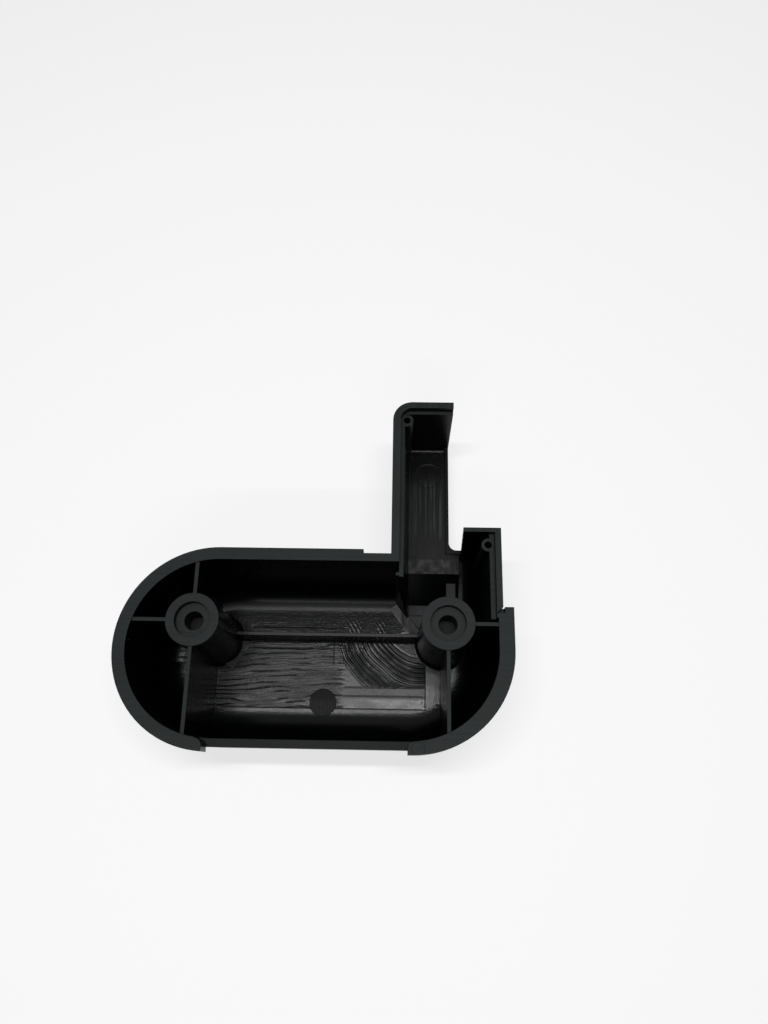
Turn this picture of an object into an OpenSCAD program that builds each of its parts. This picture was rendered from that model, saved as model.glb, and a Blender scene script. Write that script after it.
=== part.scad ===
// Cover shell of a vehicle tail light, moulded in one piece and open upwards.
// A round-ended deep tray carries two screw bosses on ribs. A channel-shaped
// arm and a square pocket stand on its far side, with a notch between them.
// Millimetres. X runs along the tray, Y towards the end of the arm, Z out of
// the open side. The origin is the middle of the whole outline, on the table.

/* [Tray] */
// Length of the tray over its rim
body_l = 133.8; // [124:0.2:150]
// Width of the tray over its rim
body_w = 67.6; // [64:0.2:74]
// Height of the whole shell
height = 46; // [40:0.5:56]
// Thickness of the floor
floor_t = 2.5; // [2:0.1:3.5]
// Thickness of the tray wall below the rim
wall_t = 2.8; // [2.2:0.1:3.4]
// Angle by which the walls lean
draft = 1.5; // [0.5:0.1:3]
// Radius between the floor and the wall on the near side and the right end
near_cove_r = 11; // [8:0.2:14]
// Radius between the floor and the wall on the far side
far_cove_r = 7.8; // [6:0.1:16]

/* [Rim] */
// How far the rim stands out from the wall
rim_lip = 1.4; // [0.8:0.1:2]
// Height of the rim band
rim_h = 8; // [5:0.5:12]
// Extra width of the rim at the right end
rim_extra = 1; // [0:0.1:1.6]
// Left end of the lowered stretch of the near wall
low_left_x = -34.5; // [-38:0.1:-20]
// Right end of the lowered stretch of the near wall
low_right_x = 31.6; // [20:0.2:34]
// Radius of the inner corners at the ends of the lowered stretch
low_r = 2.4; // [1:0.1:3.5]
// Place along the far side where the rim band stops
far_rim_end_x = 15.9; // [5:0.1:22]
// Place up the right side where the rim band stops
side_rim_end_y = 14.3; // [8:0.1:18]

/* [Screw bosses] */
// Place of the left boss from the middle of the tray
boss_left_x = -41.1; // [-44:0.1:-36]
// Place of the right boss from the middle of the tray
boss_right_x = 44.9; // [40:0.1:47]
// Distance of both bosses from the tray's long axis
boss_y = 8.6; // [5:0.1:11]
// Diameter of a boss at its top
boss_d = 18; // [15:0.1:20]
// Diameter of the shallow seat in the boss top
seat_d = 12.2; // [10:0.1:13.5]
// Depth of the seat
seat_depth = 3; // [1:0.1:5]
// Diameter of the screw hole
screw_d = 6.5; // [4:0.1:8]
// Depth of the screw hole below the seat
screw_depth = 9; // [6:0.5:20]
// Radius between a boss and the floor
boss_root_r = 1; // [0.5:0.1:3]

/* [Ribs] */
// Thickness of the ribs
rib_t = 1.3; // [1:0.1:2]
// How far the rib tops lie below the rim
rib_drop = 0.8; // [0.4:0.1:3]
// How far the top of the long rib between the bosses lies below the rim
mid_rib_drop = 31; // [12:0.5:36]
// Offset of the long rib from the line between the boss centres
mid_rib_dy = 0.9; // [0:0.1:3]
// Width of the thick rib behind the right boss
thick_rib_w = 3.4; // [2:0.1:5]
// Offset of the thick rib from the boss centre
thick_rib_dx = 2; // [-3:0.1:3]
// Length of the thick rib beyond the boss
thick_rib_l = 8.5; // [4:0.5:12]
// How far the top of the thick rib lies below the rim
thick_rib_drop = 17; // [10:0.5:30]

/* [Arm] */
// Left face of the arm from the middle of the tray
arm_left_x = 25.4; // [22:0.1:28]
// Width of the arm at its top wall
arm_w = 22; // [19:0.1:23]
// Far end of the arm from the middle of the tray
arm_end_y = 89.8; // [70:0.2:110]
// Radius of the arm's outer corner
arm_corner_r = 7; // [4:0.5:10]
// Thickness of the arm's left wall at the top
arm_wall_t = 4.3; // [3:0.1:5.5]
// Thickness of the arm's end wall at the top
end_wall_t = 3.3; // [2.5:0.1:4.5]
// How far the arm's left wall thickens towards the floor
arm_wall_flare = 2.1; // [0:0.1:3]
// Height of the arm's floor above the tray's floor
arm_floor_rise = 9; // [3:0.1:12]
// Height of the low lip on the open side of the arm
lip_h = 1.2; // [0.8:0.1:3]
// Thickness of the low lip
lip_t = 1.3; // [0.8:0.1:2]
// Depth of the step inside the rim of the arm and the pocket
step_depth = 3.2; // [1:0.1:5]
// Width of the outer band left beside the step on the left wall
left_band_w = 2.8; // [1.5:0.1:3.4]
// Width of the outer band left beside the step on the end wall
end_band_w = 2.3; // [1:0.1:2.8]

/* [Pocket] */
// Right face of the pocket from the middle of the tray
pocket_right_x = 63.3; // [58:0.1:65]
// Far face of the pocket at its rim
pocket_end_y = 42.1; // [38.5:0.1:50]
// How far the far wall of the pocket leans out towards the floor
pocket_lean = 1; // [0:0.1:3]
// Left end of the pocket's far wall at its rim
pocket_wall_x = 50.3; // [49:0.1:54]
// Thickness of the pocket's far wall at its rim
pocket_end_t = 1.5; // [1.2:0.1:3]
// Thickness of the pocket's right wall below the step
pocket_side_t = 3.7; // [2.6:0.1:4.5]
// Width of the outer band left beside the step on the right wall
side_band_w = 2.1; // [1:0.1:2.6]
// Right edge of the raised floor, beside which the pocket is deep
pocket_floor_x = 51.4; // [50.4:0.1:54]
// Radius between the pocket's floor and its right wall
pocket_root_r = 8.5; // [5:0.5:11]
// Lower end of the inner ridge of the right wall
ridge_end_y = 10.7; // [9.5:0.1:14]

/* [Raised floor] */
// Height of the landing above the tray's floor
landing_h = 0.5; // [0.3:0.1:2]
// Where the slope leaves the landing
slope_start_y = 23.2; // [18:0.1:26]
// Where the slope reaches the arm's floor
slope_end_y = 39.6; // [35:0.1:46]
// Width of the sloped edge of the landing
landing_edge_w = 3.2; // [1:0.1:4]
// Width of the ramp at the foot of the left boss
boss_ramp_w = 3.4; // [1:0.1:5]
// Height of the ramp at the foot of the left boss
boss_ramp_h = 1.2; // [0.3:0.1:3]

/* [Pilot posts] */
// Diameter of a pilot post
post_d = 4.7; // [4:0.1:6]
// Diameter of a pilot hole
pilot_d = 2.5; // [1.5:0.1:3]
// Depth of a pilot hole
pilot_depth = 12; // [6:0.5:20]
// Distance of the arm's post from the arm's left face
arm_post_dx = 5.1; // [4:0.1:7]
// Distance of the arm's post from the arm's far face
arm_post_dy = 5.9; // [5:0.1:8]
// Distance of the pocket's post from the pocket's right face
pocket_post_dx = 4.2; // [3.5:0.1:7]
// Distance of the pocket's post from the pocket's far face
pocket_post_dy = 5.3; // [4:0.1:8]

/* [Ejector marks] */
// Diameter of the ejector marks on the floors
mark_d = 10; // [6:0.5:12]
// Depth of the ejector marks
mark_depth = 0.25; // [0.1:0.05:0.5]
// Place of the tray's mark along the tray
tray_mark_x = 0.2; // [-20:0.1:20]
// Place of the tray's mark across the tray
tray_mark_y = -14.2; // [-16:0.1:0]
// Distance of the arm's mark from the arm's far face
arm_mark_dy = 15.6; // [12:0.1:30]
// Diameter of the mark on the near rim
rim_mark_d = 4.4; // [3:0.1:5]

/* [Hidden] */
$fn = 96;

slack = 0.6;
far = 200;
lean = tan(draft);

rim_r = body_w / 2;
rim_cx = body_l / 2 - rim_r;
wall_r = rim_r - rim_lip;
cavity_r = wall_r - wall_t;
right_cavity_cx = rim_cx - rim_extra;
right_cavity_x = right_cavity_cx + cavity_r;

arm_right_x = arm_left_x + arm_w;
arm_floor_z = floor_t + arm_floor_rise;
lip_top_z = arm_floor_z + lip_h;
landing_z = floor_t + landing_h;
step_z = height - step_depth;
rib_top_z = height - rib_drop;
screw_bottom_z = height - seat_depth - screw_depth;

landing_a = [arm_left_x + 1, rim_r - 8.5];
landing_b = [boss_right_x - 6, boss_y + 1];
ramp_a = [boss_left_x + 3.1, boss_y - 8.9];
ramp_b = [boss_left_x + 10.7, boss_y + 2.3];
arm_post = [arm_left_x + arm_post_dx, arm_end_y - arm_post_dy];
pocket_post = [pocket_right_x - pocket_post_dx, pocket_end_y - pocket_post_dy];

// Closed profile of a trough: a level bottom, two leaning sides and a round
// root on each side. The sides are given at the height of the rim.
module trough(left, right, bottom, r_left, r_right, top = height)
{
    zl = bottom + r_left;
    zr = bottom + r_right;
    xl = left + (top - zl) * lean + r_left / cos(draft);
    xr = right - (top - zr) * lean - r_right / cos(draft);
    polygon([
        [xl, bottom],
        [xr, bottom],
        [xr + r_right * cos(draft), zr - r_right * sin(draft)],
        [right, top],
        [right + slack * lean, top + slack],
        [left - slack * lean, top + slack],
        [left, top],
        [xl - r_left * cos(draft), zl - r_left * sin(draft)]
    ]);
    translate([xl, zl]) circle(r = r_left);
    translate([xr, zr]) circle(r = r_right);
}

// Turns a flat profile drawn in Y and Z into a bar along X
module along_x(x0, x1)
{
    translate([x0, 0, 0])
        rotate([90, 0, 90])
            linear_extrude(height = x1 - x0) children();
}

// Turns a flat profile drawn in X and Z into a bar along Y
module along_y(y0, y1)
{
    translate([0, y1, 0])
        rotate([90, 0, 0])
            linear_extrude(height = y1 - y0) children();
}

// Upright block over a plan drawn in X and Y
module upright(z0, z1)
{
    translate([0, 0, z0])
        linear_extrude(height = z1 - z0) children();
}

// Deep form with a round left end, a round lower right corner and a square
// upper right one. The near and the far side have their own root radius.
module deep_form(r, left_cx, right_cx, bottom, near_r, far_r, square_y)
{
    along_x(left_cx, right_cx)
        trough(-r, r, bottom, near_r, far_r);
    turn(left_cx, 90) trough(-r, r, bottom, far_r, far_r);
    turn(left_cx, 180) trough(-r, r, bottom, near_r, near_r);
    turn(right_cx, 270) trough(-r, r, bottom, near_r, near_r);
    along_y(0, square_y)
        trough(0, right_cx + r, bottom, 1, near_r);
}

// Quarter turn of the right half of a profile, about an upright axis
module turn(cx, from)
{
    translate([cx, 0, 0])
        rotate_extrude(angle = 90, start = from)
            intersection() {
                children();
                square(far);
            }
}

// Plan of the rim: round at the left, and square at the upper right
module rim_plan(r)
{
    translate([-rim_cx, 0]) circle(r = r);
    translate([rim_cx, 0]) circle(r = r);
    translate([-rim_cx, -r]) square([2 * rim_cx, 2 * r]);
    translate([rim_cx, 0]) square([r, side_rim_end_y]);
}

// Outside of the tray below its rim
module tray_outside()
{
    intersection() {
        deep_form(wall_r, -rim_cx, rim_cx, 0, near_cove_r + wall_t,
                  far_cove_r + wall_t, side_rim_end_y);
        upright(0, height) square(4 * far, center = true);
    }
}

// Band round the rim that stands out from the wall
module rim_band()
{
    upright(height - rim_h, height)
        intersection() {
            rim_plan(rim_r);
            union() {
                translate([-far, -far]) square([far + far_rim_end_x, 2 * far]);
                translate([-far, -far]) square([2 * far, far + side_rim_end_y]);
            }
        }
}

// Everything above a surface that is level under the tray, rises in a slope
// and is level again under the arm. The profile is drawn in Y and Z.
module above_slope(near_z, drop)
{
    crest_run = 5.5;
    crest_drop = 0.7;
    crest_y = slope_end_y - crest_run;
    crest_z = arm_floor_z - crest_drop;
    polygon([
        [0, near_z],
        [slope_start_y, near_z],
        [crest_y, crest_z - drop],
        [slope_end_y, arm_floor_z - drop],
        [far, arm_floor_z - drop],
        [far, far],
        [0, far]
    ]);
}

// Plan of the arm, grown inwards by a left and an end distance
module arm_plan(left_in, end_in, right_x, corner_r)
{
    x0 = arm_left_x + left_in;
    y1 = arm_end_y - end_in;
    translate([x0, 0]) square([right_x - x0, y1 - corner_r]);
    translate([x0 + corner_r, 0]) square([right_x - x0 - corner_r, y1]);
    translate([x0 + corner_r, y1 - corner_r]) circle(r = corner_r);
}

// Outside of the arm and the pocket, before they are hollowed
module far_outside()
{
    notch_y = pocket_end_y + pocket_lean;
    notch_r = 3;
    intersection() {
        union() {
            along_x(0, far)
                intersection() {
                    above_slope(0, floor_t);
                    square([far, height]);
                }
            along_x(pocket_floor_x - floor_t, far)
                square([notch_y, height]);
        }
        union() {
            intersection() {
                upright(0, height) arm_plan(0, 0, arm_right_x, arm_corner_r);
                along_y(0, arm_end_y)
                    polygon([
                        [arm_left_x, height],
                        [arm_left_x + height * lean, 0],
                        [arm_right_x, 0],
                        [arm_right_x, height]
                    ]);
            }
            along_x(arm_right_x - 1, pocket_right_x)
                polygon([
                    [0, 0],
                    [notch_y, 0],
                    [notch_y, lip_top_z],
                    [pocket_end_y, height],
                    [0, height]
                ]);
            upright(0, lip_top_z)
                difference() {
                    translate([arm_right_x - 1, notch_y - 1])
                        square([notch_r + 1, notch_r + 1]);
                    translate([arm_right_x + notch_r, notch_y + notch_r])
                        circle(r = notch_r);
                }
        }
        along_y(0, far)
            trough(-far, pocket_right_x, 0, 1, pocket_root_r + floor_t);
    }
}

// Landing between the tray and the arm, with a sloped front that runs from the
// arm's wall to the right boss
module landing()
{
    upright(0, landing_z)
        polygon([
            landing_a,
            landing_b,
            [boss_right_x, boss_y],
            [pocket_right_x, boss_y],
            [pocket_right_x, pocket_end_y],
            [landing_a[0], pocket_end_y]
        ]);
    ramp(landing_a, landing_b, landing_edge_w, landing_h, slack);
}

// Ramp whose upper edge is the plan line from a to b. It falls to the floor on
// the right of that line, and as far again below it, and is level on the left.
module ramp(a, b, fall_run, rise, level_run)
{
    run = norm(b - a);
    turn = atan2(b[1] - a[1], b[0] - a[0]);
    translate([a[0], a[1], 0])
        rotate([0, 0, turn])
            along_x(0, run)
                polygon([
                    [level_run, floor_t - rise],
                    [level_run, floor_t + rise],
                    [0, floor_t + rise],
                    [-2 * fall_run, floor_t - rise]
                ]);
}

// Hollow of the tray itself
module tray_hollow()
{
    difference() {
        difference() {
            union() {
                deep_form(cavity_r, -rim_cx, right_cavity_cx, floor_t,
                          near_cove_r, far_cove_r, ridge_end_y);
                landing_front();
            }
            arm_wall_root();
        }
        landing();
    }
}

// Hollow over the part of the landing's front that lies beyond the tray
module landing_front()
{
    x0 = right_cavity_cx - slack;
    y0 = ridge_end_y - slack;
    y1 = landing_a[1] - 6;
    upright(floor_t, arm_floor_z)
        translate([x0, y0])
            square([landing_b[0] - x0, y1 - y0]);
}

// Foot of the arm's left wall where it runs on into the tray
module arm_wall_root()
{
    inner_x = arm_left_x + arm_wall_t;
    foot_x = inner_x + arm_wall_flare;
    outer_lean = 1.2;
    corner_drop = 7.2;
    front_y = rim_r - 8.2;
    front_lean = 8;
    intersection() {
        along_y(0, body_w / 2)
            polygon([
                [arm_left_x + left_band_w - outer_lean, 0],
                [foot_x, 0],
                [foot_x, floor_t],
                [inner_x, step_z],
                [arm_left_x + left_band_w, step_z]
            ]);
        upright(0, height)
            polygon([
                landing_a,
                [foot_x, landing_a[1] - corner_drop],
                [foot_x, body_w],
                [landing_a[0], body_w]
            ]);
        along_x(0, far)
            polygon([
                [front_y, height],
                [front_y - front_lean, 0],
                [body_w, 0],
                [body_w, height]
            ]);
    }
}

// Hook at the end of the arm's wall inside the tray
module wall_hook()
{
    hook_r = 2.6;
    hook_t = 1.1;
    hook_y = rim_r - 8.4;
    cx = arm_left_x + arm_wall_t - hook_r;
    cy = hook_y + hook_r;
    upright(floor_t, step_z)
        intersection() {
            difference() {
                translate([cx, cy]) circle(r = hook_r);
                translate([cx, cy]) circle(r = hook_r - hook_t);
            }
            translate([cx, cy - hook_r]) square([hook_r, hook_r]);
        }
}

// Hollow of the arm, open on its right side above the lip
module arm_hollow()
{
    inner_x = arm_left_x + arm_wall_t;
    root_r = 1.2;
    end_y = arm_end_y - end_wall_t;
    intersection() {
        along_x(0, far)
            intersection() {
                above_slope(landing_z, 0);
                union() {
                    trough(-far, end_y, arm_floor_z, 1, root_r);
                    square([slope_end_y, far]);
                }
            }
        along_y(0, far)
            union() {
                polygon([
                    [inner_x + arm_wall_flare, 0],
                    [inner_x + arm_wall_flare, arm_floor_z],
                    [inner_x, step_z],
                    [inner_x, height + slack],
                    [arm_right_x - lip_t, height + slack],
                    [arm_right_x - lip_t, 0]
                ]);
                translate([arm_right_x - lip_t - slack, lip_top_z])
                    square([lip_t + 2 * slack, far]);
            }
    }
}

// Step inside the rim of the arm
module arm_step()
{
    step_end_y = cavity_r - 1.4;
    upright(step_z, height + slack)
        difference() {
            arm_plan(left_band_w, end_band_w, arm_right_x + slack,
                     arm_corner_r - left_band_w);
            square([2 * arm_right_x, step_end_y]);
        }
}

// Hollow of the pocket, open towards the arm and the tray
module pocket_hollow()
{
    inner_x = pocket_right_x - pocket_side_t;
    inner_y = pocket_end_y - pocket_end_t;
    foot_x = arm_left_x + arm_wall_t + arm_wall_flare;
    intersection() {
        union() {
            along_x(foot_x, far) above_slope(landing_z, 0);
            along_x(pocket_floor_x, far)
                translate([0, landing_z]) square(far);
        }
        along_y(boss_y, far)
            trough(foot_x - far, inner_x, floor_t, 1, pocket_root_r);
        along_x(0, far)
            polygon([
                [boss_y, 0],
                [inner_y + 1, 0],
                [inner_y + 1, arm_floor_z],
                [inner_y, height],
                [inner_y, height + slack],
                [boss_y, height + slack]
            ]);
    }
}

// Step inside the rim of the pocket's right wall
module pocket_step()
{
    inner_x = pocket_right_x - pocket_side_t;
    inner_y = pocket_end_y - pocket_end_t;
    upright(step_z, height + slack)
        translate([inner_x - slack, ridge_end_y])
            square([pocket_side_t - side_band_w + slack, inner_y - ridge_end_y]);
}

// Opening between the arm and the pocket's far wall
module notch_opening()
{
    lean_x = 1.7;
    near_run = 3;
    far_run = 12;
    low_run = 4;
    along_y(pocket_end_y - near_run, pocket_end_y + far_run)
        polygon([
            [arm_right_x - lip_t - slack, lip_top_z],
            [pocket_wall_x + lean_x, lip_top_z],
            [pocket_wall_x, height],
            [pocket_wall_x, height + slack],
            [arm_right_x - lip_t - slack, height + slack]
        ]);
    upright(arm_floor_z, lip_top_z + slack)
        translate([arm_right_x - lip_t - slack, pocket_end_y - low_run])
            square([pocket_wall_x - arm_right_x + lip_t + 2 * slack,
                    low_run + pocket_lean - lip_t]);
}

// Lowered stretch of the near rim, between two ends with a round inner corner
module low_stretch()
{
    upright(height - rim_h, height + slack) {
        translate([low_left_x, -rim_r - slack])
            square([low_right_x - low_left_x, rim_r / 2]);
        translate([low_left_x - low_r, -cavity_r - low_r])
            difference() {
                square([low_r + slack, low_r + 1]);
                circle(r = low_r);
            }
        translate([low_right_x, -cavity_r - low_r])
            difference() {
                translate([-slack, 0]) square([low_r + slack, low_r + 1]);
                translate([low_r, 0]) circle(r = low_r);
            }
    }
}

// Small notch between the right rim and the pocket's outer band
module rim_gap()
{
    gap_w = 2;
    upright(step_z, height + slack)
        polygon([
            [right_cavity_x - slack, side_rim_end_y - gap_w],
            [pocket_right_x + slack, side_rim_end_y - gap_w],
            [pocket_right_x + slack, side_rim_end_y + slack],
            [pocket_right_x, side_rim_end_y]
        ]);
}

// Boss body with its round root, from the floor up
module boss_body(x)
{
    foot_d = boss_d + height * lean;
    translate([x, boss_y, 0]) {
        cylinder(d1 = foot_d, d2 = boss_d, h = height);
        rotate_extrude()
            difference() {
                translate([foot_d / 2 - 1, 1])
                    square([boss_root_r + 1, floor_t + boss_root_r - 1]);
                translate([foot_d / 2 + boss_root_r, floor_t + boss_root_r])
                    circle(r = boss_root_r);
            }
    }
}

// Ramp at the foot of the left boss, on the near side of the long rib
module boss_ramp()
{
    intersection() {
        ramp(ramp_a, ramp_b, boss_ramp_w, boss_ramp_h, boss_d / 4);
        upright(0, height)
            translate([boss_left_x, boss_y - boss_d]) square(boss_d);
    }
}

// Seat and blind screw hole of a boss
module boss_hole(x)
{
    translate([x, boss_y, screw_bottom_z])
        cylinder(d = screw_d, h = height);
    translate([x, boss_y, height - seat_depth])
        cylinder(d = seat_d, h = height);
}

// One plain upright rib on the plan line from a to b
module rib(a, b, t, top_z)
{
    run = norm(b - a);
    turn = atan2(b[1] - a[1], b[0] - a[0]);
    translate([a[0], a[1], 0])
        rotate([0, 0, turn])
            translate([0, -t / 2, floor_t / 2])
                cube([run, t, top_z - floor_t / 2]);
}

// All ribs, long enough to run into the wall
module ribs()
{
    left = [boss_left_x, boss_y];
    right = [boss_right_x, boss_y];
    reach = cavity_r + wall_t / 2;
    left_end_x = -rim_cx - sqrt(pow(reach, 2) - pow(boss_y, 2));
    chord_y = sqrt(pow(reach, 2) - pow(boss_left_x + rim_cx, 2));
    right_chord_y = sqrt(pow(reach, 2) - pow(boss_right_x - right_cavity_cx, 2));
    rib(left, [left_end_x, boss_y], rib_t, rib_top_z);
    rib(left, [boss_left_x, chord_y], rib_t, rib_top_z);
    rib(left, [boss_left_x, -chord_y], rib_t, rib_top_z);
    rib(right, [right_cavity_x + wall_t / 2, boss_y], rib_t, rib_top_z);
    rib(right, [boss_right_x, -right_chord_y], rib_t, rib_top_z);
    rib(left + [0, mid_rib_dy], right + [0, mid_rib_dy], rib_t,
        height - mid_rib_drop);
    rib([boss_right_x + thick_rib_dx, boss_y],
        [boss_right_x + thick_rib_dx, boss_y + boss_d / 2 + thick_rib_l],
        thick_rib_w, height - thick_rib_drop);
}

// Pilot post, from inside the floor up to the step
module post(place, floor_z)
{
    translate([place[0], place[1], floor_z - 1])
        cylinder(d = post_d, h = step_z - floor_z + 1);
}

module pilot_hole(place)
{
    translate([place[0], place[1], step_z - pilot_depth])
        cylinder(d = pilot_d, h = height);
}

// Flat discs left by the ejector pins
module marks()
{
    arm_middle = (arm_left_x + arm_wall_t + arm_wall_flare + arm_right_x - lip_t) / 2;
    cut_h = 3;
    arm_mark_dx = 0.5;
    rim_mark_dx = 3.4;
    rim_mark_dy = 1.9;
    translate([tray_mark_x, tray_mark_y, floor_t - mark_depth])
        cylinder(d = mark_d, h = cut_h);
    translate([arm_middle + arm_mark_dx, arm_end_y - arm_mark_dy, arm_floor_z - mark_depth])
        cylinder(d = mark_d, h = cut_h);
    translate([low_right_x + rim_mark_dx, rim_mark_dy - rim_r, height - mark_depth])
        cylinder(d = rim_mark_d, h = cut_h);
}

// The tray, the arm and the pocket as plain open shells
module open_shell()
{
    difference() {
        union() {
            tray_outside();
            rim_band();
            far_outside();
        }
        union() {
            tray_hollow();
            arm_hollow();
            pocket_hollow();
        }
    }
}

// The shells with their steps, notches and openings
module trimmed_shell()
{
    difference() {
        open_shell();
        arm_step();
        pocket_step();
        notch_opening();
        low_stretch();
        rim_gap();
    }
}

// Everything that stands on the floor inside the shell
module inner_parts()
{
    intersection() {
        union() {
            ribs();
            boss_body(boss_left_x);
            boss_body(boss_right_x);
            boss_ramp();
            wall_hook();
            post(arm_post, arm_floor_z);
            post(pocket_post, landing_z);
        }
        union() {
            tray_outside();
            far_outside();
        }
    }
}

module cover()
{
    color([0.08, 0.09, 0.09])
        translate([0, (rim_r - arm_end_y) / 2, 0])
            difference() {
                union() {
                    trimmed_shell();
                    inner_parts();
                }
                boss_hole(boss_left_x);
                boss_hole(boss_right_x);
                pilot_hole(arm_post);
                pilot_hole(pocket_post);
                marks();
            }
}

cover();
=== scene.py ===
"""Tail light cover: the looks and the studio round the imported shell."""

import math

import bpy
from bpy.props import FloatProperty, FloatVectorProperty, PointerProperty
from mathutils import Matrix, Vector


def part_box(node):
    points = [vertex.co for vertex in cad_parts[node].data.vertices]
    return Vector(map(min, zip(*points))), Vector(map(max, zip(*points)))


bl_info = {
    "name": "Tail Light Cover",
    "version": (1, 0, 0),
    "blender": (4, 5, 0),
    "location": "3D View > Sidebar > Cover",
    "description": "Finishes the moulded shell of a tail light cover and sets up its studio",
    "category": "Object",
}

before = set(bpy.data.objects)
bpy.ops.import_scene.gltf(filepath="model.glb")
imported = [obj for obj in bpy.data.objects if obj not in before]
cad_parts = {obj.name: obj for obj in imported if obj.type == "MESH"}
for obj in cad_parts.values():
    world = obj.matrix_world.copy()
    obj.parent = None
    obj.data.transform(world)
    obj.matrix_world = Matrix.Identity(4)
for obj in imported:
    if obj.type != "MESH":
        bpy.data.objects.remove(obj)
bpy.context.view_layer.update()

MM = 0.001
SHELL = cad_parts["cover"]
LOW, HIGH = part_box("cover")

# Sizes of the shell that the marks on it follow, in millimetres
TRAY_WIDTH = 67.6
FLOOR_HEIGHT = 2.5
ARM_FLOOR_HEIGHT = 11.5
RIM_BAND = 8.0
RIM_HEIGHT = HIGH.z / MM
STEP_DEPTH = 3.2
PIT_LOW, PIT_HIGH = 33.0, 35.5
TRAY_MIDDLE = Vector((0.0, LOW.y / MM + TRAY_WIDTH / 2, 0.0))

# Edges of the milled areas of the floor, from the middle of the tray
MILLED_END_X = 38.6
LEVEL_END_X = 3.8
ARC_CENTRE = (38.4, 20.6)
RIB_Y = 9.6
LANE_FAR_Y = -8.6
LANE_NEAR_Y = -16.5


class Wire:
    """A socket of a shader, so that sums on it are written as sums."""

    def __init__(self, graph, socket):
        self.graph = graph
        self.socket = socket

    def _sum(self, operation, first, second=None):
        return self.graph.add(
            "ShaderNodeMath", {"operation": operation}, {0: first, 1: second}
        )

    def __add__(self, other):
        return self._sum("ADD", self, other)

    def __radd__(self, other):
        return self._sum("ADD", other, self)

    def __sub__(self, other):
        return self._sum("SUBTRACT", self, other)

    def __rsub__(self, other):
        return self._sum("SUBTRACT", other, self)

    def __mul__(self, other):
        return self._sum("MULTIPLY", self, other)

    def __rmul__(self, other):
        return self._sum("MULTIPLY", other, self)

    def __pow__(self, other):
        return self._sum("POWER", self, other)

    def sine(self):
        return self._sum("SINE", self)

    def wave(self, pitch):
        """A sine wave along the value, which repeats at each pitch."""
        return (self * (2 * math.pi / pitch)).sine()

    def root(self):
        return self._sum("SQRT", self)

    def least(self, other):
        return self._sum("MINIMUM", self, other)

    def most(self, other):
        return self._sum("MAXIMUM", self, other)


class Graph:
    """The nodes of one material or of the world."""

    def __init__(self, tree):
        self.tree = tree
        tree.nodes.clear()

    def add(self, kind, settings=None, sockets=None, out=0):
        """Adds a node: its settings first, then its sockets' values or links."""
        node = self.tree.nodes.new(kind)
        for name, value in (settings or {}).items():
            setattr(node, name, value)
        for name, value in (sockets or {}).items():
            if value is None:
                continue
            if isinstance(value, Wire):
                self.tree.links.new(value.socket, node.inputs[name])
            else:
                node.inputs[name].default_value = value
        return Wire(self, node.outputs[out]) if node.outputs else node

    def split(self, vector):
        """The three parts of a vector."""
        first = self.add("ShaderNodeSeparateXYZ", None, {0: vector})
        outputs = first.socket.node.outputs
        return [Wire(self, output) for output in outputs]

    def join(self, x, y, z):
        return self.add("ShaderNodeCombineXYZ", None, {0: x, 1: y, 2: z})

    def step(self, value, start, end):
        """Rises softly from 0 to 1 as the value goes from start to end."""
        return self.add(
            "ShaderNodeMapRange",
            {"interpolation_type": "SMOOTHSTEP"},
            {"Value": value, "From Min": start, "From Max": end},
        )

    def band(self, value, low, high, soft):
        """1 between low and high, with soft ends."""
        return self.step(value, low - soft, low + soft) * self.step(
            value, high + soft, high - soft
        )

    def noise(self, vector, scale, detail=2.0, roughness=0.5):
        """Smooth noise from about 0 to 1, with its scale in bumps per unit."""
        return self.add(
            "ShaderNodeTexNoise",
            {"noise_dimensions": "3D"},
            {
                "Vector": vector,
                "Scale": scale,
                "Detail": detail,
                "Roughness": roughness,
            },
        )

    def seen(self):
        """1 for what the camera sees, straight or in a gloss or a glass."""
        ray = self.add("ShaderNodeLightPath")
        outputs = ray.socket.node.outputs
        gloss = Wire(self, outputs["Is Glossy Ray"])
        through = Wire(self, outputs["Is Transmission Ray"])
        return (ray + gloss + through).least(1.0)

    def blend(self, share, first, second):
        """Mixes two colours."""
        return self.add(
            "ShaderNodeMix",
            {"data_type": "RGBA"},
            {0: share, 6: first, 7: second},
            out=2,
        )


class CoverFinish(bpy.types.PropertyGroup):
    """The black plastic and the marks of its mould."""

    deep: FloatVectorProperty(
        name="Plastic",
        description="Colour of the plastic on the walls",
        subtype="COLOR",
        default=(0.0005, 0.0007, 0.0007),
        min=0.0,
        max=1.0,
    )
    # The pale colour paints the sheen of the tops and the lowered rim, and the highlight
    # streaks on the arm's floor; on the edges it is wear
    pale: FloatVectorProperty(
        name="Pale plastic for sheen and wear",
        description="Colour of the plastic where sheen is painted and where handling has dulled it",
        subtype="COLOR",
        default=(0.018, 0.022, 0.022),
        min=0.0,
        max=1.0,
    )
    gloss: FloatProperty(
        name="Specular level",
        description="Strength of the plastic's reflections",
        default=0.10,
        min=0.0,
        max=1.0,
    )
    edge: FloatProperty(
        name="Edge radius",
        description="Radius by which the moulded edges look rounded",
        subtype="DISTANCE",
        unit="LENGTH",
        default=0.35 * MM,
        min=0.0,
        max=2.0 * MM,
    )
    relief: FloatProperty(
        name="Mark depth",
        description="Strength of the milling marks on the floors",
        default=1.0,
        min=0.0,
        max=3.0,
    )


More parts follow.
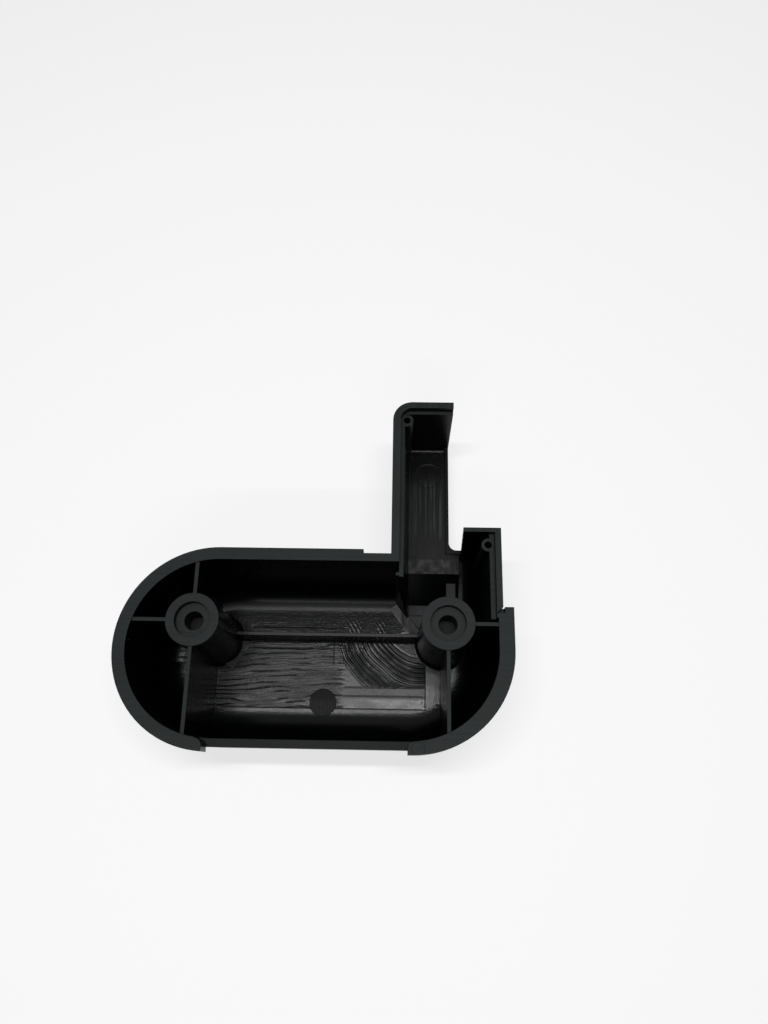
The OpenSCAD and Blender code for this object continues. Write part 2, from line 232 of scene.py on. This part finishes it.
class CoverStudio(bpy.types.PropertyGroup):
    """The camera and the lamps."""

    tilt: FloatProperty(
        name="Camera tilt",
        description="Angle of the camera's aim from straight down",
        subtype="ANGLE",
        unit="ROTATION",
        default=math.radians(18.4),
    )
    turn: FloatProperty(
        name="Camera turn",
        description="Angle of the camera's aim to the left",
        subtype="ANGLE",
        unit="ROTATION",
        default=math.radians(-1.0),
    )
    roll: FloatProperty(
        name="Camera roll",
        description="Angle by which the picture is turned",
        subtype="ANGLE",
        unit="ROTATION",
        default=math.radians(1.06),
    )
    place: FloatVectorProperty(
        name="Camera place",
        description="Where the camera stands",
        subtype="TRANSLATION",
        unit="LENGTH",
        default=(27.3 * MM, -68.86 * MM, 311.0 * MM),
    )
    lens: FloatProperty(
        name="Lens",
        description="Focal length of the camera, in millimetres",
        default=28.125,
        min=10.0,
        max=200.0,
    )
    key: FloatProperty(
        name="Overhead lamp",
        description="Power of the lamp above the cover, in watts",
        subtype="POWER",
        unit="POWER",
        default=2.8,
        min=0.0,
    )
    front: FloatProperty(
        name="Front lamp",
        description="Power of the lamp in front of the cover, in watts",
        subtype="POWER",
        unit="POWER",
        default=0.6,
        min=0.0,
    )
    sky: FloatProperty(
        name="Room light",
        description="Strength of the even light from all round",
        default=0.12,
        min=0.0,
        max=1.0,
    )
    paper: FloatVectorProperty(
        name="Floor",
        description="Colour of the floor",
        subtype="COLOR",
        default=(0.93, 0.93, 0.93),
        min=0.0,
        max=1.0,
    )


class TrayMarks:
    """The marks on the shell, in millimetres from the middle of the tray."""

    def __init__(self, graph):
        self.graph = graph
        place = graph.add("ShaderNodeTexCoord", out=3)
        place = graph.add(
            "ShaderNodeVectorMath",
            {"operation": "SCALE"},
            {0: place, "Scale": 1 / MM},
        )
        self.spot = graph.add(
            "ShaderNodeVectorMath",
            {"operation": "SUBTRACT"},
            {0: place, 1: TRAY_MIDDLE},
        )
        self.x, self.y, self.z = graph.split(self.spot)
        normal = graph.add("ShaderNodeNewGeometry", out=3)
        self.up = graph.step(graph.split(normal)[2], 0.80, 0.97)

    def stretched(self, x, y, z=1.0):
        """The place, with its parts scaled."""
        return self.graph.join(self.x * x, self.y * y, self.z * z)

    def floor(self):
        """1 on the floor of the tray."""
        level = FLOOR_HEIGHT
        return self.up * self.graph.step(self.z, level + 0.9, level + 0.3)

    def disc(self):
        """1 on the round ejector mark in the tray's floor."""
        level = FLOOR_HEIGHT
        near = self.graph.step(self.z, level - 0.02, level - 0.15)
        return self.up * near * self.graph.step(self.z, 1.0, 1.5)

    def tops(self):
        """1 on the faces at the height of the rim, the seats and the steps."""
        level = RIM_HEIGHT - STEP_DEPTH
        return self.up * self.graph.step(self.z, level - 0.4, level - 0.2)

    def lowered(self):
        """1 on the lowered stretch of the near rim."""
        graph = self.graph
        level = RIM_HEIGHT - RIM_BAND
        return self.up * graph.band(self.z, level - 0.3, level + 0.3, 0.2)

    def pit(self):
        """1 on the bottoms of the screw holes."""
        return self.up * self.graph.band(self.z, PIT_LOW, PIT_HIGH, 0.3)

    def arm(self):
        """1 on the landing, the slope and the floor of the arm."""
        low = self.graph.step(self.z, ARM_FLOOR_HEIGHT + 1.2, ARM_FLOOR_HEIGHT + 0.4)
        beyond = self.graph.step(self.x, 29.0, 31.0) * self.graph.step(self.y, 11.0, 13.0)
        return self.up * low * beyond

    def lane(self):
        """How far up the floor a level tool path runs, with its slow waves."""
        drift = self.graph.noise(self.stretched(0.05, 0.14), 1.0, 2.0)
        return self.y - 0.05 * self.x + (drift - 0.5) * 5.0

    def arcs(self):
        """Height of the curved tool paths on the right half of the floor."""
        graph = self.graph
        drift = graph.noise(self.spot, 0.07, 1.0)
        across = self.x - ARC_CENTRE[0]
        along = self.y - ARC_CENTRE[1]
        reach = (across * across * 1.15 + along * along).root()
        reach = reach + drift * 2.5
        wave = reach.wave(1.75)
        fine = reach.wave(0.62)
        depth = graph.step(graph.noise(self.spot, 0.23, 2.0), 0.25, 0.75)
        inside = graph.step(reach, 40.0, 38.6) * graph.step(reach, 17.0, 22.0)
        inside = inside * graph.step(self.y, LANE_FAR_Y - 0.2, LANE_FAR_Y + 1.0)
        inside = inside * graph.step(self.x, MILLED_END_X + 0.4, MILLED_END_X)
        inside = inside * graph.step(self.y, RIB_Y + 0.2, RIB_Y - 0.2)
        return (wave * (0.04 + 0.07 * depth) + fine * 0.01) * inside

    def streaks(self):
        """Height of the level, wavy tool paths on the left half of the floor."""
        graph = self.graph
        lane = self.lane()
        deep = (lane.wave(2.1) * 0.5 + 0.5) ** 7.0
        fine = lane.wave(0.85)
        part = graph.noise(self.stretched(0.07, 0.5), 1.0, 3.0)
        part = graph.step(part, 0.38, 0.62)
        inside = graph.band(self.y, LANE_NEAR_Y + 0.1, RIB_Y, 0.2)
        inside = inside * graph.step(self.x, 9.0, 5.5)
        return (fine * 0.008 * (1.3 - part) - deep * 0.08 * part) * inside

    def far_lines(self):
        """Height of the level lines on the floor behind the long rib."""
        graph = self.graph
        inside = graph.step(self.y, RIB_Y - 0.1, RIB_Y + 0.4)
        level = graph.noise(self.stretched(0.04, 1.1), 1.0, 3.0) * 0.022
        reach = self.x * 0.8 + self.y * 0.5
        curved = reach.wave(1.3) * 0.014 * graph.step(self.y, 19.0, 15.0)
        spots = graph.band(self.x, 8.5, 14.0, 1.0) + graph.band(self.x, 20.0, 23.0, 1.0)
        return (level + curved * spots) * inside

    def scallops(self):
        """Height of the short marks across the lane beside the near wall."""
        graph = self.graph
        lane = graph.band(self.y, LANE_NEAR_Y + 0.5, LANE_FAR_Y, 0.4)
        lane = lane * graph.step(self.x, 2.0, 12.0)
        wave = (self.x + graph.noise(self.spot, 0.6) * 1.4).wave(0.9)
        part = graph.noise(self.stretched(0.3, 0.5), 1.0, 3.0)
        part = graph.step(part, 0.4, 0.62)
        arches = self.x.wave(3.4) + self.y * 0.9
        ripple = arches.wave(1.6) * graph.step(self.y, -11.0, -12.0)
        return (wave * part * 0.008 + ripple * 0.006) * lane

    def lines(self):
        """Height of the straight steps where one tool path ends at another."""
        graph = self.graph
        near = graph.band(self.y, LANE_NEAR_Y, LANE_NEAR_Y + 0.3, 0.12)
        near = near * graph.band(self.x, -38.0, MILLED_END_X, 1.0)
        lane = graph.band(self.y, -11.8, -11.4, 0.15)
        lane = lane + graph.band(self.y, LANE_FAR_Y, LANE_FAR_Y + 0.4, 0.15)
        lane = lane * graph.band(self.x, 8.0, MILLED_END_X, 2.0) * 0.6
        right = graph.band(self.x, MILLED_END_X, MILLED_END_X + 0.3, 0.12)
        right = right * graph.band(self.y, -16.0, 6.0, 1.0)
        level = graph.band(self.x, LEVEL_END_X - 0.2, LEVEL_END_X + 0.1, 0.12)
        level = level * graph.band(self.y, 0.2, 9.0, 0.3)
        top = graph.band(self.y, 5.9, 6.3, 0.2)
        top = top * graph.band(self.x, -28.0, LEVEL_END_X, 0.5)
        far = graph.band(self.y, 14.0, 14.3, 0.15)
        far = far * graph.band(self.x, -28.0, 8.0, 1.5)
        depth = 0.07
        return (near + lane + right + level + top + far).least(1.0) * -depth

    def end_patch(self):
        """1 on the smoother patch at the right end of the floor."""
        graph = self.graph
        wide = graph.band(self.x, MILLED_END_X + 0.4, 45.0, 0.8)
        return wide * graph.band(self.y, -17.0, -7.6, 1.0)

    def bright_lane(self):
        """1 on the smoother lane beside the near wall."""
        graph = self.graph
        cloud = graph.noise(self.stretched(0.12, 0.3), 1.0, 2.0)
        cloud = graph.step(cloud, 0.3, 0.6)
        lane = graph.band(self.y, LANE_NEAR_Y + 0.2, -12.7, 0.3)
        return lane * graph.step(self.x, 3.0, 12.0) * cloud

    def sparkle(self):
        """Height of the uneven patch at the right end of the floor."""
        grain = self.graph.noise(self.spot, 1.3, 3.0, 0.7)
        return grain * self.end_patch() * 0.04

    def speckle(self):
        """Height of the uneven grain that the mould's floor was left with."""
        graph = self.graph
        coarse = graph.noise(self.spot, 0.45, 2.0, 0.6)
        rough = graph.noise(self.stretched(0.9, 1.3), 1.0, 2.0, 0.6)
        return coarse * 0.018 + rough * 0.03

    def arm_highlight_streaks(self):
        """How pale the lengthwise flow streaks on the arm's floor are, painted as highlight
        streaks.
        """
        graph = self.graph
        # Painted highlight: pale streaks in the lit band of the arm's floor, brighter
        # towards its right side
        fine = graph.noise(self.stretched(0.9, 0.03), 1.0, 3.0)
        fine = graph.step(fine, 0.48, 0.72)
        right = graph.step(self.x, 33.0, 37.0)
        return fine * graph.band(self.y, 50.0, 70.0, 4.0) * (0.4 + right) * 1.6

    def floor_shade(self):
        """How much less rough each part of the floor is than the middle of it."""
        graph = self.graph
        left = graph.band(self.y, -13.0, 9.0, 1.5) * graph.step(self.x, 8.0, 4.0)
        lane = graph.band(self.y, -12.5, -8.0, 0.3)
        lane = lane * graph.step(self.x, 2.0, 12.0)
        right = graph.band(self.y, -7.6, 5.0, 1.5)
        right = right * graph.step(self.x, 20.0, 27.0)
        ramp = graph.step(self.x * 0.78 + self.y * 0.62, 32.7, 33.5)
        ramp = ramp * graph.step(self.y, 11.0, 12.0)
        cove = graph.step(self.y, 19.5, 21.5) * (1.0 - ramp)
        far = graph.step(self.y, 9.0, 13.0) * 0.07
        return far - left * 0.08 - cove * 0.2 - (lane + right) * 0.04 - ramp * 0.19

    def arm_shade(self):
        """How much less rough the end of the arm is, and more its crest."""
        graph = self.graph
        mottle = graph.noise(self.stretched(0.35, 0.3), 1.0, 3.0)
        mottle = graph.step(mottle, 0.35, 0.65)
        crest = graph.band(self.y, 31.0, 41.0, 2.5) * (0.05 + 0.13 * mottle)
        return graph.step(self.y, 69.0, 78.0) * 0.12 - crest

    def arm_lines(self):
        """Height of the lengthwise flow marks on the floor of the arm."""
        graph = self.graph
        wide = graph.noise(self.stretched(0.45, 0.02), 1.0, 2.0)
        fine = graph.noise(self.stretched(2.2, 0.05), 1.0, 2.0)
        return wide * 0.25 + fine * 0.02

    def height(self):
        """Height of all marks, in millimetres."""
        graph = self.graph
        floor = self.floor()
        disc = self.disc()
        grain = graph.noise(self.spot, 2.4, 3.0, 0.65)
        milled = self.arcs() + self.streaks() + self.scallops() + self.lines()
        milled = milled + self.sparkle() + self.speckle() + self.far_lines()
        pin = (self.x.wave(0.95) + graph.noise(self.spot, 0.8)) * 0.03
        total = milled * floor * (1.0 - disc) + pin * disc
        total = total + self.arm_lines() * self.arm()
        return total + grain * 0.008


def sheen_and_wear(marks, edges, cloud, fleck, brushed):
    """How far the colour of each spot has gone from deep to pale: painted sheen on the tops
    and the lowered rim, painted highlight streaks on the arm's floor, wear on the edges and
    random paler flecks on the floor.
    """
    tops = marks.tops()
    # Painted sheen: the tops are paler, unevenly, because they face the overhead lamp; the
    # edges are paler from wear
    painted_sheen_and_wear = tops * (0.35 + 0.4 * cloud) + edges * 0.4
    # Random paler flecks on the floor, and painted sheen on the lowered stretch of the near
    # rim
    painted_sheen_and_wear = painted_sheen_and_wear + marks.floor() * 0.12 * fleck + marks.lowered() * 0.12
    # Painted highlight streaks on the arm's floor, and lengthwise light and dark streaks in
    # the painted sheen of the tops
    painted_sheen_and_wear = painted_sheen_and_wear + marks.arm_highlight_streaks() * marks.arm() + tops * (brushed - 0.5) * 0.9
    return painted_sheen_and_wear.least(1.0)


def dullness(marks, cloud, fleck, brushed):
    """The roughness of each spot."""
    floor = marks.floor()
    plain = 0.27 + 0.06 * (cloud - 0.5) + 0.05 * (fleck - 0.5)
    tops = marks.tops() * (0.28 + 0.08 * (brushed - 0.5))
    matte = (marks.lowered() + marks.pit() + marks.disc()) * 0.28
    dull = plain + tops + matte - floor * (0.11 - 0.1 * fleck)
    smooth = (marks.end_patch() * 0.13).most(marks.bright_lane() * 0.11)
    dull = dull - floor * (smooth + marks.floor_shade())
    return dull + marks.arm() * (0.08 - marks.arm_shade())


def plastic(look):
    """The black plastic with the marks of its mould."""
    material = bpy.data.materials.new("moulded_black_plastic")
    material.use_nodes = True
    graph = Graph(material.node_tree)
    marks = TrayMarks(graph)
    cloud = graph.noise(marks.spot, 0.06, 3.0)
    fleck = graph.noise(marks.spot, 1.1, 4.0, 0.7)
    across = graph.noise(marks.stretched(1.6, 0.05), 1.0, 3.0)
    along = graph.noise(marks.stretched(0.05, 1.6), 1.0, 3.0)
    beyond = graph.step(marks.y, 31.0, 33.0)
    brushed = across * beyond + along * (1.0 - beyond)

    rounded = graph.add("ShaderNodeBevel", {"samples": 6}, {"Radius": look.edge})
    plain = graph.add("ShaderNodeNewGeometry", out=1)
    alike = graph.add(
        "ShaderNodeVectorMath",
        {"operation": "DOT_PRODUCT"},
        {0: rounded, 1: plain},
        out=1,
    )
    edges = graph.step(alike, 0.995, 0.80)
    # Deep plastic, made pale as painted sheen on the tops and the lowered rim, as painted
    # highlight streaks on the arm's floor, and as wear on the edges and flecks on the floor
    colour = graph.blend(
        sheen_and_wear(marks, edges, cloud, fleck, brushed),
        (*look.deep, 1.0),
        (*look.pale, 1.0),
    )
    normal = graph.add(
        "ShaderNodeBump",
        None,
        {
            "Strength": 1.0,
            "Distance": look.relief * MM,
            "Height": marks.height(),
            "Normal": rounded,
        },
    )
    surface = graph.add(
        "ShaderNodeBsdfPrincipled",
        None,
        {
            "Base Color": colour,
            "Roughness": dullness(marks, cloud, fleck, brushed),
            "IOR": 1.5,
            "Specular IOR Level": look.gloss,
            "Normal": normal,
        },
    )
    graph.add("ShaderNodeOutputMaterial", None, {"Surface": surface})
    return material


class COVER_OT_finish(bpy.types.Operator):
    """Gives the moulded shell its black plastic"""

    bl_idname = "cover.finish"
    bl_label = "Finish the Shell"

    def execute(self, context):
        look = context.scene.cover_finish
        material = plastic(look)
        if not SHELL.data.materials:
            raise RuntimeError("the shell has no material slot")
        SHELL.material_slots[0].link = "OBJECT"
        SHELL.material_slots[0].material = material
        return {"FINISHED"}


def aimed(place, target):
    """Matrix of a lamp that stands at place and shines at target."""
    turn = (target - place).to_track_quat("-Z", "Y")
    return Matrix.Translation(place) @ turn.to_matrix().to_4x4()


def lamp(name, place, target, length, width, power):
    """A soft long lamp that lies along the tray."""
    light = bpy.data.lights.new(name, "AREA")
    light.shape = "RECTANGLE"
    light.size = length
    light.size_y = width
    light.energy = power
    holder = bpy.data.objects.new(name, light)
    holder.matrix_world = aimed(place, target)
    bpy.context.scene.collection.objects.link(holder)
    return holder


def camera(studio):
    """The camera, aimed down along the studio's angles."""
    tilt, turn, roll = studio.tilt, studio.turn, studio.roll
    aim = Vector(
        (
            math.sin(turn) * math.cos(tilt),
            math.sin(tilt),
            -math.cos(turn) * math.cos(tilt),
        )
    )
    level = Vector((math.cos(turn), 0.0, math.sin(turn)))
    over = level.cross(aim)
    right = level * math.cos(roll) + over * math.sin(roll)
    up = over * math.cos(roll) - level * math.sin(roll)
    data = bpy.data.cameras.new("camera")
    data.sensor_fit = "VERTICAL"
    data.sensor_height = 36.0
    data.lens = studio.lens
    data.clip_start = 0.01
    holder = bpy.data.objects.new("camera", data)
    matrix = Matrix((right, up, -aim)).transposed().to_4x4()
    matrix.translation = Vector(studio.place)
    holder.matrix_world = matrix
    bpy.context.scene.collection.objects.link(holder)
    bpy.context.scene.camera = holder


def room(studio):
    """The even light from all round."""
    world = bpy.data.worlds.new("room")
    world.use_nodes = True
    graph = Graph(world.node_tree)
    light = graph.add(
        "ShaderNodeBackground",
        None,
        {"Color": (1.0, 1.0, 1.0, 1.0), "Strength": studio.sky},
    )
    seen = graph.add(
        "ShaderNodeBackground",
        None,
        {"Color": (1.0, 1.0, 1.0, 1.0), "Strength": 1.0},
    )
    both = graph.add("ShaderNodeMixShader", None, {0: graph.seen(), 1: light, 2: seen})
    graph.add("ShaderNodeOutputWorld", None, {"Surface": both})
    bpy.context.scene.world = world


def ground(studio):
    """The plain floor that the cover lies on, white to the camera for the most part."""
    half = 3.0
    gap = 0.02 * MM
    white_share = 0.7
    mesh = bpy.data.meshes.new("floor")
    corners = [(-half, -half, 0), (half, -half, 0), (half, half, 0), (-half, half, 0)]
    mesh.from_pydata(corners, [], [(0, 1, 2, 3)])
    floor = bpy.data.objects.new("floor", mesh)
    floor.location.z = LOW.z - gap
    bpy.context.scene.collection.objects.link(floor)
    material = bpy.data.materials.new("paper")
    material.use_nodes = True
    graph = Graph(material.node_tree)
    spot = graph.add("ShaderNodeTexCoord", out=3)
    tint = graph.noise(spot, 3.0, 2.0)
    colour = graph.blend(tint * 0.02, (*studio.paper, 1.0), (0.9, 0.9, 0.9, 1.0))
    surface = graph.add(
        "ShaderNodeBsdfPrincipled",
        None,
        {"Base Color": colour, "Roughness": 0.9, "Specular IOR Level": 0.1},
    )
    white = graph.add("ShaderNodeEmission", None, {"Strength": 1.0})
    share = graph.seen() * white_share
    both = graph.add("ShaderNodeMixShader", None, {0: share, 1: surface, 2: white})
    graph.add("ShaderNodeOutputMaterial", None, {"Surface": both})
    mesh.materials.append(material)


class COVER_OT_stage(bpy.types.Operator):
    """Sets up the camera, the floor, the lamps and the room light"""

    bl_idname = "cover.stage"
    bl_label = "Set the Stage"

    def execute(self, context):
        studio = context.scene.cover_studio
        camera(studio)
        ground(studio)
        room(studio)
        above = Vector((8 * MM, 12 * MM, 640 * MM))
        below = Vector((above.x, above.y, 0.0))
        lamp("overhead_lamp", above, below, 370 * MM, 24 * MM, studio.key)
        ahead = Vector((-10 * MM, -372 * MM, 500 * MM))
        middle = (LOW + HIGH) / 2
        lamp("front_lamp", ahead, middle, 400 * MM, 16 * MM, studio.front)
        context.scene.view_settings.view_transform = "Standard"
        return {"FINISHED"}


class COVER_PT_panel(bpy.types.Panel):
    """The steps that dress the cover"""

    bl_idname = "COVER_PT_panel"
    bl_label = "Tail Light Cover"
    bl_space_type = "VIEW_3D"
    bl_region_type = "UI"
    bl_category = "Cover"

    def draw(self, context):
        layout = self.layout
        look = context.scene.cover_finish
        for name in ("deep", "pale", "gloss", "edge", "relief"):
            layout.prop(look, name)
        layout.operator(COVER_OT_finish.bl_idname)
        studio = context.scene.cover_studio
        for name in ("tilt", "turn", "roll", "place", "lens"):
            layout.prop(studio, name)
        for name in ("key", "front", "sky", "paper"):
            layout.prop(studio, name)
        layout.operator(COVER_OT_stage.bl_idname)


CLASSES = (CoverFinish, CoverStudio, COVER_OT_finish, COVER_OT_stage, COVER_PT_panel)


def register():
    for kind in CLASSES:
        bpy.utils.register_class(kind)
    bpy.types.Scene.cover_finish = PointerProperty(type=CoverFinish)
    bpy.types.Scene.cover_studio = PointerProperty(type=CoverStudio)


def unregister():
    del bpy.types.Scene.cover_studio
    del bpy.types.Scene.cover_finish
    for kind in reversed(CLASSES):
        bpy.utils.unregister_class(kind)


def main():
    register()
    bpy.ops.cover.finish()
    bpy.ops.cover.stage()


if __name__ == "__main__":
    main()
